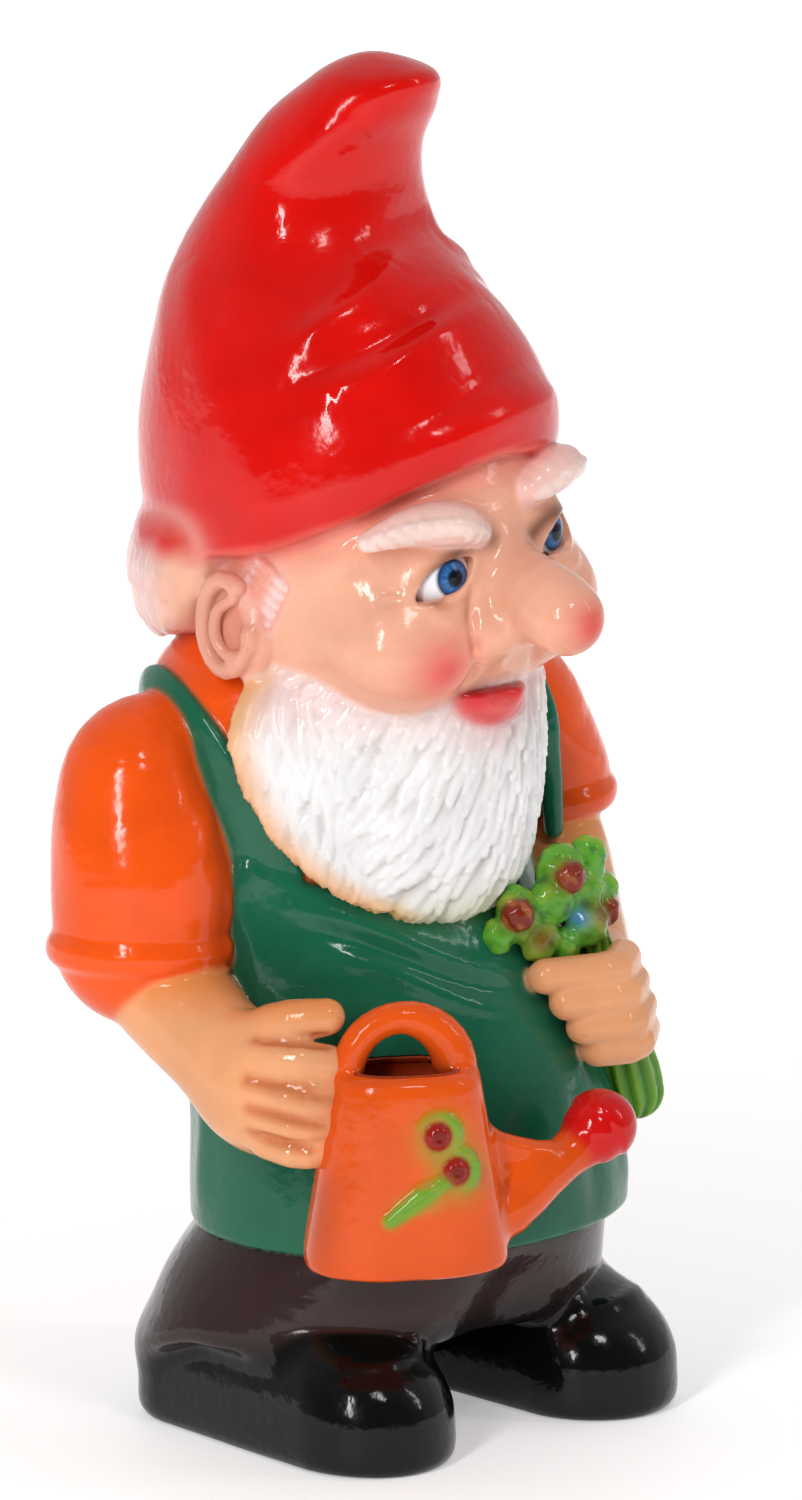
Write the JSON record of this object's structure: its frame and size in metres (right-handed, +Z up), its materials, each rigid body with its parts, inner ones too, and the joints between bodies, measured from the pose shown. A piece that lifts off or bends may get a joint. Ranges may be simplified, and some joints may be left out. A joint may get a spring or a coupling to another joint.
{
  "type": "garden gnome",
  "caption": "Standing garden figure in a pointed cap and bib apron that carries a watering can and a posy, cast hollow with a filler plug underneath for ballast.",
  "frame": {"origin": "centre of the figure's bounding box in plan, at the level of the boot soles", "axes": "+Z up, -Y out of the figure's face, +X to the figure's own left"},
  "size_m": [0.178, 0.1424, 0.347],
  "materials": {
    "shirt": "glossy",
    "apron": "glossy",
    "trousers": "glossy",
    "boots": "glossy",
    "plug": "satin",
    "skin": "glossy",
    "eyes": "glossy",
    "hair": "glossy",
    "beard": "glossy",
    "lips": "glossy",
    "hat": "glossy",
    "can": "glossy",
    "rose": "glossy",
    "blooms": "glossy",
    "leaves": "glossy"
  },
  "bodies": {
    "figure": {"apron": "apron", "beard": "beard", "boot_left": "boots", "boot_right": "boots", "can_bloom_lower": "blooms", "can_bloom_upper": "blooms", "can_body": "can", "can_handle": "can", "can_leaf": "leaves", "can_rose": "rose", "can_spout": "can", "can_spout_brace": "can", "cuff_left": "shirt", "cuff_right": "shirt", "ear_left": "skin", "ear_right": "skin", "eye_left": "eyes", "eye_right": "eyes", "eyebrow_left": "hair", "eyebrow_right": "hair", "hair": "hair", "hand_left": "skin", "hand_right": "skin", "hat": "hat", "head": "skin", "mouth": "lips", "posy_bloom_front": "blooms", "posy_bloom_side": "blooms", "posy_bloom_upper": "blooms", "posy_leaves": "leaves", "posy_stems": "leaves", "shirt_body": "shirt", "sleeve_left": "shirt", "sleeve_right": "shirt", "strap_left": "apron", "strap_right": "apron", "trousers": "trousers"},
    "plug": {"filler_plug": "plug"}
  },
  "joints": [
    {"name": "plug_slide", "type": "slide", "parent": "figure", "child": "plug", "axis": [0, 0, -1], "range_m": [0, 0.03]}
  ]
}
